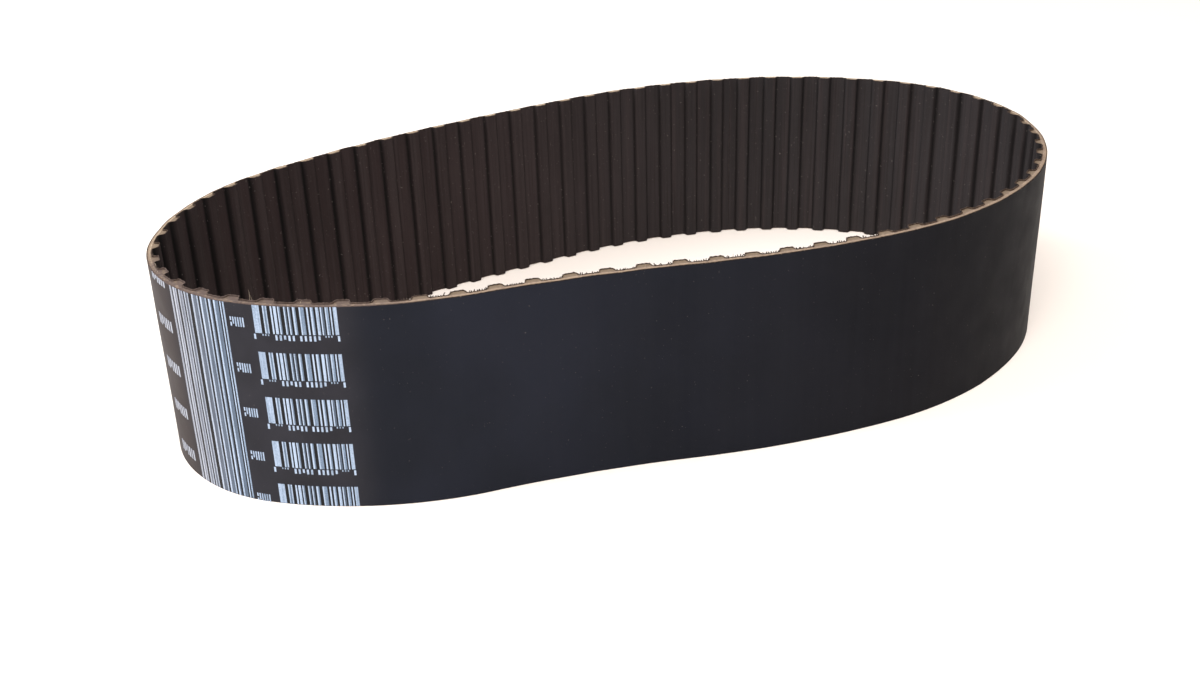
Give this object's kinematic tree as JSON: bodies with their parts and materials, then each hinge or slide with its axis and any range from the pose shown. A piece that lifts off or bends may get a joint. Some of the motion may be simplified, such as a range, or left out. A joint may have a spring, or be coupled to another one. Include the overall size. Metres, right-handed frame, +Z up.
{
  "type": "timing belt",
  "caption": "Endless toothed rubber belt standing on its edge in a relaxed oval loop, trapezoidal teeth inside, smooth printed back outside.",
  "frame": {"origin": "middle of the loop's footprint, on the cut edge that the belt stands on", "axes": "+Z up across the belt's width, X along the loop's longest extent with the tight end at -X, Y across the loop with the printed front run at -Y"},
  "size_m": [0.3654, 0.2038, 0.0762],
  "materials": {
    "back_rubber": "satin black neoprene with a slight blue cast",
    "tension_cord": "tan cut edge of wound glass cords bonded in rubber",
    "tooth_rubber": "matt grey-brown cut rubber",
    "woven_facing": "matt dark brown-black woven nylon facing soaked with rubber",
    "print_ink": "pale blue-white transfer print, worn"
  },
  "bodies": {
    "span_01": {"back_rubber_01": "back_rubber", "tension_cords_01": "tension_cord", "tooth_rubber_01": "tooth_rubber", "tooth_facing_01": "woven_facing", "print_stripe_band": "print_ink", "print_label_strokes": "print_ink", "print_dashes": "print_ink"},
    "span_02": {"back_rubber_02": "back_rubber", "tension_cords_02": "tension_cord", "tooth_rubber_02": "tooth_rubber", "tooth_facing_02": "woven_facing", "print_bar_rows": "print_ink", "print_tick_rows": "print_ink"},
    "span_03": {"back_rubber_03": "back_rubber", "tension_cords_03": "tension_cord", "tooth_rubber_03": "tooth_rubber", "tooth_facing_03": "woven_facing"},
    "span_04": {"back_rubber_04": "back_rubber", "tension_cords_04": "tension_cord", "tooth_rubber_04": "tooth_rubber", "tooth_facing_04": "woven_facing"},
    "span_05": {"back_rubber_05": "back_rubber", "tension_cords_05": "tension_cord", "tooth_rubber_05": "tooth_rubber", "tooth_facing_05": "woven_facing"},
    "span_06": {"back_rubber_06": "back_rubber", "tension_cords_06": "tension_cord", "tooth_rubber_06": "tooth_rubber", "tooth_facing_06": "woven_facing"},
    "span_07": {"back_rubber_07": "back_rubber", "tension_cords_07": "tension_cord", "tooth_rubber_07": "tooth_rubber", "tooth_facing_07": "woven_facing"},
    "span_08": {"back_rubber_08": "back_rubber", "tension_cords_08": "tension_cord", "tooth_rubber_08": "tooth_rubber", "tooth_facing_08": "woven_facing"},
    "span_09": {"back_rubber_09": "back_rubber", "tension_cords_09": "tension_cord", "tooth_rubber_09": "tooth_rubber", "tooth_facing_09": "woven_facing"},
    "span_10": {"back_rubber_10": "back_rubber", "tension_cords_10": "tension_cord", "tooth_rubber_10": "tooth_rubber", "tooth_facing_10": "woven_facing"},
    "span_11": {"back_rubber_11": "back_rubber", "tension_cords_11": "tension_cord", "tooth_rubber_11": "tooth_rubber", "tooth_facing_11": "woven_facing"},
    "span_12": {"back_rubber_12": "back_rubber", "tension_cords_12": "tension_cord", "tooth_rubber_12": "tooth_rubber", "tooth_facing_12": "woven_facing"}
  },
  "joints": [
    {"name": "flex_03_04", "type": "hinge", "parent": "span_03", "child": "span_04", "pos_m": [-0.01292, -0.09197, 0.0381], "axis": [0, 0, 1], "range_deg": [-14, 14], "stiffness_Nm_per_rad": 0.06},
    {"name": "flex_04_05", "type": "hinge", "parent": "span_04", "child": "span_05", "pos_m": [0.0626, -0.10061, 0.0381], "axis": [0, 0, 1], "range_deg": [-6.5, 6.5], "stiffness_Nm_per_rad": 0.06},
    {"name": "flex_05_06", "type": "hinge", "parent": "span_05", "child": "span_06", "pos_m": [0.13473, -0.07929, 0.0381], "axis": [0, 0, 1], "range_deg": [-4, 4], "stiffness_Nm_per_rad": 0.06},
    {"name": "flex_06_07", "type": "hinge", "parent": "span_06", "child": "span_07", "pos_m": [0.17879, -0.01926, 0.0381], "axis": [0, 0, 1], "range_deg": [-10.5, 10.5], "stiffness_Nm_per_rad": 0.06},
    {"name": "flex_07_08", "type": "hinge", "parent": "span_07", "child": "span_08", "pos_m": [0.16151, 0.05172, 0.0381], "axis": [0, 0, 1], "range_deg": [-8.5, 8.5], "stiffness_Nm_per_rad": 0.06},
    {"name": "flex_02_03", "type": "hinge", "parent": "span_03", "child": "span_02", "pos_m": [-0.08814, -0.08037, 0.0381], "axis": [0, 0, 1], "range_deg": [-3.5, 3.5], "stiffness_Nm_per_rad": 0.06},
    {"name": "flex_01_02", "type": "hinge", "parent": "span_02", "child": "span_01", "pos_m": [-0.15824, -0.05346, 0.0381], "axis": [0, 0, 1], "range_deg": [-8, 8], "stiffness_Nm_per_rad": 0.06},
    {"name": "flex_12_01", "type": "hinge", "parent": "span_01", "child": "span_12", "pos_m": [-0.17757, 0.01508, 0.0381], "axis": [0, 0, 1], "range_deg": [-12.5, 12.5], "stiffness_Nm_per_rad": 0.06},
    {"name": "flex_11_12", "type": "hinge", "parent": "span_12", "child": "span_11", "pos_m": [-0.12591, 0.06811, 0.0381], "axis": [0, 0, 1], "range_deg": [-4, 4], "stiffness_Nm_per_rad": 0.06},
    {"name": "flex_10_11", "type": "hinge", "parent": "span_11", "child": "span_10", "pos_m": [-0.05286, 0.08932, 0.0381], "axis": [0, 0, 1], "range_deg": [-8.5, 8.5], "stiffness_Nm_per_rad": 0.06},
    {"name": "flex_09_10", "type": "hinge", "parent": "span_10", "child": "span_09", "pos_m": [0.0226, 0.09977, 0.0381], "axis": [0, 0, 1], "range_deg": [-14.5, 14.5], "stiffness_Nm_per_rad": 0.06}
  ],
  "couplings": [
    {"joint": "flex_04_05", "follows": "flex_03_04", "ratio": 0.463},
    {"joint": "flex_05_06", "follows": "flex_03_04", "ratio": -0.268},
    {"joint": "flex_06_07", "follows": "flex_03_04", "ratio": -0.742},
    {"joint": "flex_07_08", "follows": "flex_03_04", "ratio": -0.599},
    {"joint": "flex_02_03", "follows": "flex_03_04", "ratio": -0.228},
    {"joint": "flex_01_02", "follows": "flex_03_04", "ratio": 0.544},
    {"joint": "flex_12_01", "follows": "flex_03_04", "ratio": 0.878},
    {"joint": "flex_11_12", "follows": "flex_03_04", "ratio": 0.282},
    {"joint": "flex_10_11", "follows": "flex_03_04", "ratio": -0.592},
    {"joint": "flex_09_10", "follows": "flex_03_04", "ratio": -1.03}
  ]
}
